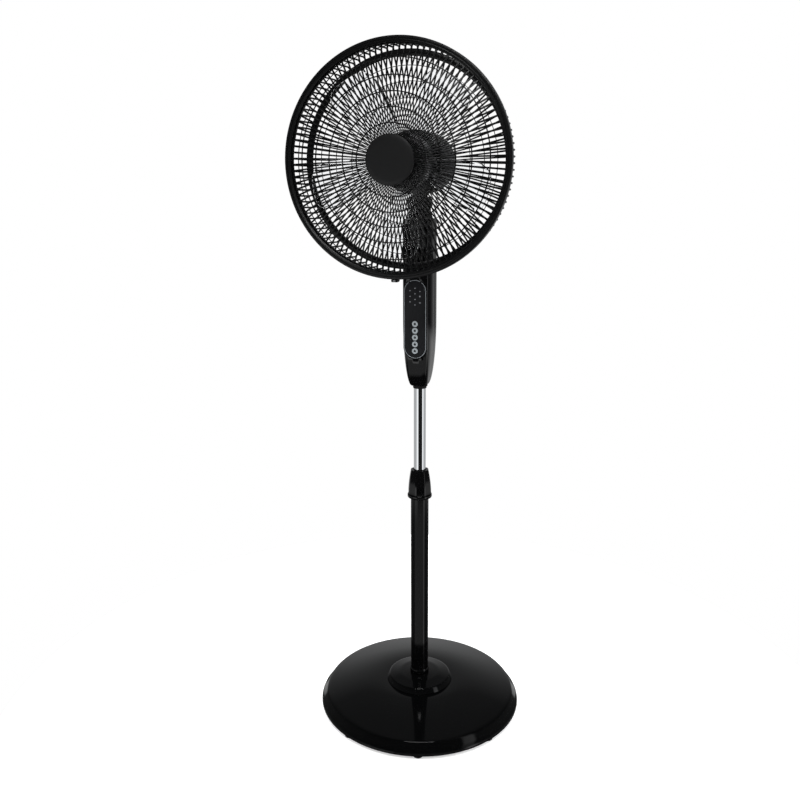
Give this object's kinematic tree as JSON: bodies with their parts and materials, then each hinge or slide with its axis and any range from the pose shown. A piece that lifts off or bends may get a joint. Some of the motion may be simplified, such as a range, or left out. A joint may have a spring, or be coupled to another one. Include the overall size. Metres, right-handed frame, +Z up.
{
  "type": "pedestal fan",
  "caption": "Floor-standing pedestal fan with a weighted round base, telescopic pole, push-button control column and a swinging, tilting caged head with clear blades.",
  "frame": {"origin": "on the floor, on the pole's axis", "axes": "+Z up along the pole, -Y the way the air blows, +X to the right of someone who looks at the fan's front"},
  "size_m": [0.43, 0.428, 1.374],
  "materials": {
    "base_gloss": "deep gloss black moulding",
    "soft_black": "satin black moulding",
    "rubber": "matt black rubber",
    "weight_iron": "rough cast iron",
    "steel": "plain zinc-plated steel",
    "pole_black": "gloss black lacquered steel tube",
    "pole_chrome": "mirror chrome plated tube",
    "housing_gloss": "piano black gloss moulding",
    "panel_matt": "matt blue-black panel film",
    "panel_silver": "satin silver trim line",
    "button_silver": "silver-grey painted button",
    "board_green": "green circuit board",
    "guide_milky": "milky light guide",
    "gear_natural": "natural acetal",
    "motor_grey": "satin dark grey moulding",
    "motor_iron": "varnished laminations and copper windings",
    "grille_grey": "satin dark grey moulding",
    "cap_grey": "satin dark grey cap",
    "blade_clear": "clear smoke-tinted moulding with a black hub"
  },
  "bodies": {
    "base": {"base_cover": "base_gloss", "bottom_plate": "soft_black", "base_weight": "weight_iron", "pole_socket": "steel", "base_bolt": "steel", "foot_1": "rubber", "foot_2": "rubber", "foot_3": "rubber", "foot_4": "rubber", "foot_5": "rubber", "foot_6": "rubber", "foot_7": "rubber", "foot_8": "rubber", "pole_flange": "base_gloss", "pole_foot_ring": "base_gloss", "outer_pole": "pole_black", "collar_collet": "soft_black"},
    "collar": {"height_collar": "housing_gloss"},
    "mast": {"inner_pole": "pole_chrome", "inner_pole_plug": "soft_black", "neck_front_shell": "housing_gloss", "neck_rear_shell": "housing_gloss", "neck_sleeve": "soft_black", "shell_screw_1": "steel", "shell_screw_2": "steel", "neck_lock_screw": "steel", "cord_gland": "soft_black", "control_panel": "panel_matt", "panel_trim": "panel_silver", "circuit_board": "board_green", "light_guide": "guide_milky", "swing_bracket": "steel", "swing_motor": "steel"},
    "button_1": {"button_1": "button_silver"},
    "button_2": {"button_2": "button_silver"},
    "button_3": {"button_3": "button_silver"},
    "button_4": {"button_4": "button_silver"},
    "button_5": {"button_5": "button_silver"},
    "pinion": {"swing_pinion": "gear_natural"},
    "swivel": {"swing_yoke": "soft_black", "swing_gear": "gear_natural", "tilt_bolt": "steel", "tilt_nut": "steel"},
    "head": {"tilt_lug": "soft_black", "motor_front_cover": "motor_grey", "motor_rear_cover": "motor_grey", "stator": "motor_iron", "front_bearing": "steel", "rear_bearing": "steel", "rear_grille": "grille_grey", "grille_nut": "soft_black", "front_grille": "grille_grey", "front_cap": "cap_grey", "rim_ring": "grille_grey", "rim_clip": "soft_black", "rim_screw": "steel"},
    "propeller": {"rotor": "steel", "motor_shaft": "steel", "fan_blade": "blade_clear", "blade_nut": "soft_black"}
  },
  "joints": [
    {"name": "height_slide", "type": "slide", "parent": "base", "child": "mast", "axis": [0, 0, 1], "range_m": [-0.16, 0.06]},
    {"name": "collar_twist", "type": "hinge", "parent": "base", "child": "collar", "pos_m": [0, 0, 0.497], "axis": [0, 0, 1], "range_deg": [0, 60]},
    {"name": "button_1_press", "type": "slide", "parent": "mast", "child": "button_1", "axis": [0, 1, 0], "range_m": [0, 0.001], "stiffness_N_per_m": 500},
    {"name": "button_2_press", "type": "slide", "parent": "mast", "child": "button_2", "axis": [0, 1, 0], "range_m": [0, 0.001], "stiffness_N_per_m": 500},
    {"name": "button_3_press", "type": "slide", "parent": "mast", "child": "button_3", "axis": [0, 1, 0], "range_m": [0, 0.001], "stiffness_N_per_m": 500},
    {"name": "button_4_press", "type": "slide", "parent": "mast", "child": "button_4", "axis": [0, 1, 0], "range_m": [0, 0.001], "stiffness_N_per_m": 500},
    {"name": "button_5_press", "type": "slide", "parent": "mast", "child": "button_5", "axis": [0, 1, 0], "range_m": [0, 0.001], "stiffness_N_per_m": 500},
    {"name": "head_swing", "type": "hinge", "parent": "mast", "child": "swivel", "pos_m": [0, 0, 1.053], "axis": [0, 0, 1], "range_deg": [-40, 40]},
    {"name": "pinion_spin", "type": "hinge", "parent": "mast", "child": "pinion", "pos_m": [0, 0.01915, 1.029], "axis": [0, 0, 1], "range_deg": [-112, 112]},
    {"name": "head_tilt", "type": "hinge", "parent": "swivel", "child": "head", "pos_m": [0, 0, 1.08], "axis": [-1, 0, 0], "range_deg": [-12, 20]},
    {"name": "blade_spin", "type": "hinge", "parent": "head", "child": "propeller", "pos_m": [0, -0.101, 1.159], "axis": [0, -1, 0], "continuous": true}
  ],
  "couplings": [
    {"joint": "pinion_spin", "follows": "head_swing", "ratio": -2.8}
  ]
}
